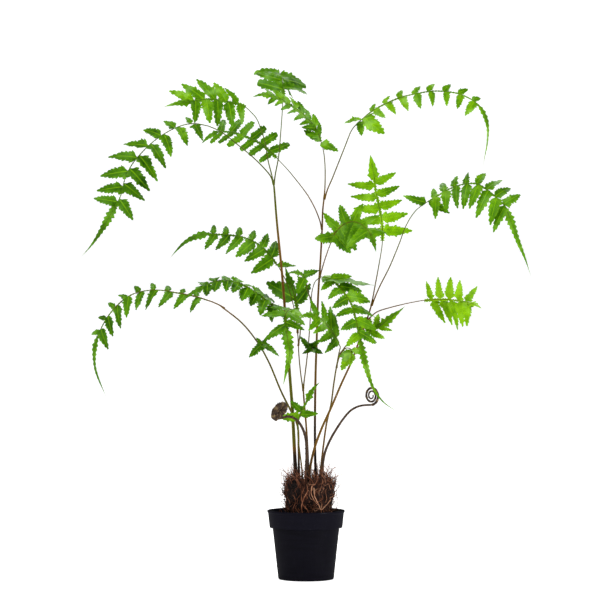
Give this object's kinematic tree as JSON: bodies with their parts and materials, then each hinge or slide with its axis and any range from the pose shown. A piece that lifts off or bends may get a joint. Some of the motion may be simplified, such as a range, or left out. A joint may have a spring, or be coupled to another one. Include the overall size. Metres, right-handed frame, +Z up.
{
  "type": "potted fern",
  "caption": "Tall potted fern with arching compound fronds and rolled fiddleheads growing from a fibrous root crown in a tapered nursery pot.",
  "frame": {"origin": "centre of the pot's foot, on the surface it stands on", "axes": "+Z up, -Y towards the front view, +X to that view's right"},
  "size_m": [0.692, 0.2733, 0.7953],
  "materials": {
    "pot_plastic": "satin black, with a soft sheen",
    "potting_mix": "dark moist crumb",
    "root_fibre": "matt, matted reddish-brown fibres",
    "stem_skin": "smooth, brown at the foot and olive above",
    "fiddlehead_skin": "scaly, dark brown and cream",
    "leaf": "fresh green, waxy, a little translucent"
  },
  "bodies": {
    "root": {"centre_fan_blade": "leaf", "centre_left_blade": "leaf", "centre_right_arch_blade": "leaf", "centre_stem": "stem_skin", "centre_top_blade": "leaf", "fiddlehead_left": "fiddlehead_skin", "fiddlehead_right": "fiddlehead_skin", "inner_left_behind_blade": "leaf", "inner_left_cross_blade": "leaf", "inner_left_glossy_blade": "leaf", "inner_left_hanging_blade": "leaf", "inner_left_inner_arch_blade": "leaf", "inner_left_mid_blade": "leaf", "inner_left_stem": "stem_skin", "inner_left_tuft_blade": "leaf", "inner_right_front_blade": "leaf", "inner_right_pale_blade": "leaf", "inner_right_side_blade": "leaf", "inner_right_stem": "stem_skin", "low_left_long_blade": "leaf", "low_left_small_blade": "leaf", "low_left_stem": "stem_skin", "nursery_pot": "pot_plastic", "potting_mix": "potting_mix", "right_arch_blade": "leaf", "right_low_blade": "leaf", "right_stem": "stem_skin", "right_upright_blade": "leaf", "root_crown": "root_fibre", "tall_left_middle_blade": "leaf", "tall_left_outer_blade": "leaf", "tall_left_stem": "stem_skin", "tall_left_top_blade": "leaf", "young_stem": "stem_skin", "young_tip_blade": "leaf"}
  },
  "joints": []
}
